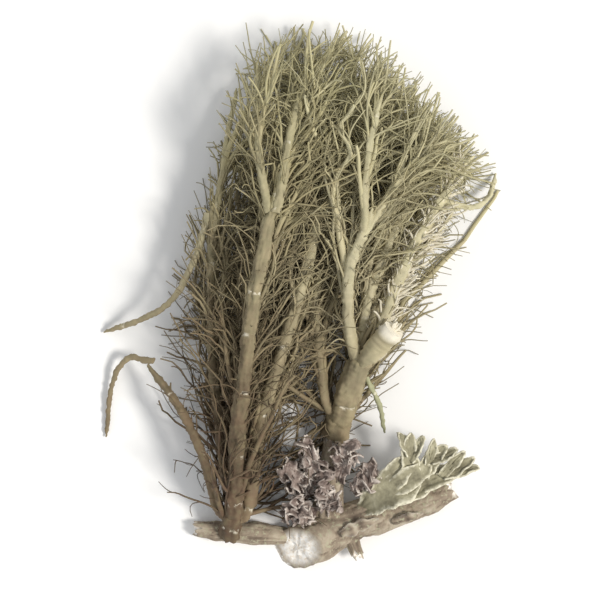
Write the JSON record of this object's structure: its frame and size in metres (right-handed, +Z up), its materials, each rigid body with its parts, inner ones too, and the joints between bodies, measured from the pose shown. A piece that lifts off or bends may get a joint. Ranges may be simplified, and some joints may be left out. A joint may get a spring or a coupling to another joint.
{
  "type": "lichen on a twig",
  "caption": "Dried tuft of beard lichen fanning out from a broken twig, with small strap and crust lichens; lies on a surface.",
  "frame": {"origin": "on the flat torn underside of the twig, beside its pale cut end, where it rests on the surface", "axes": "+Z up off the surface; +Y along the tuft, from the twig towards the strands' tips; +X along the twig, away from its cut end"},
  "size_m": [0.0271, 0.0367, 0.0079],
  "materials": {
    "bark": "rough dry bark, greyish brown, pale where it is cut",
    "beard_lichen": "dry and matte, grey-green to straw",
    "beard_lichen_base": "dry and matte, pinkish brown",
    "strap_lichen": "leathery, pale grey-green",
    "crust_lichen": "leathery, mauve-grey with pale rims"
  },
  "bodies": {
    "root": {"bark_flake_1": "bark", "bark_flake_2": "bark", "brown_branch_left": "beard_lichen", "brown_branch_tall": "beard_lichen", "crust_lobe_1": "crust_lichen", "crust_lobe_2": "crust_lichen", "crust_lobe_3": "crust_lichen", "crust_lobe_4": "crust_lichen", "crust_lobe_5": "crust_lichen", "crust_lobe_6": "crust_lichen", "edge_thread": "beard_lichen", "feathery_branch_hook": "beard_lichen", "feathery_branch_up": "beard_lichen", "green_filament": "beard_lichen", "inner_branch_curl": "beard_lichen", "inner_branch_right": "beard_lichen", "left_branch": "beard_lichen", "left_holdfast": "beard_lichen_base", "left_stem_brown": "beard_lichen", "left_stem_inner": "beard_lichen", "left_stem_middle": "beard_lichen", "left_stem_outer": "beard_lichen", "left_stem_thin": "beard_lichen", "lower_thread_left": "beard_lichen", "middle_branch_right": "beard_lichen", "middle_branch_up": "beard_lichen", "middle_thread": "beard_lichen", "outer_thread": "beard_lichen", "pale_branch": "beard_lichen", "right_holdfast": "beard_lichen_base", "right_stem_edge": "beard_lichen", "right_stem_feathery": "beard_lichen", "right_stem_left": "beard_lichen", "right_stem_lower": "beard_lichen", "right_stem_middle": "beard_lichen", "right_stem_pale": "beard_lichen", "right_stub": "beard_lichen_base", "right_trunk": "beard_lichen_base", "strap_base": "strap_lichen", "strap_finger_left": "strap_lichen", "strap_finger_middle": "strap_lichen", "strap_finger_right": "strap_lichen", "thin_branch_hook": "beard_lichen", "thin_branch_up": "beard_lichen", "twig": "bark", "twig_left_shoot": "bark", "twig_spur": "bark", "twig_upper_shoot": "bark"}
  },
  "joints": []
}
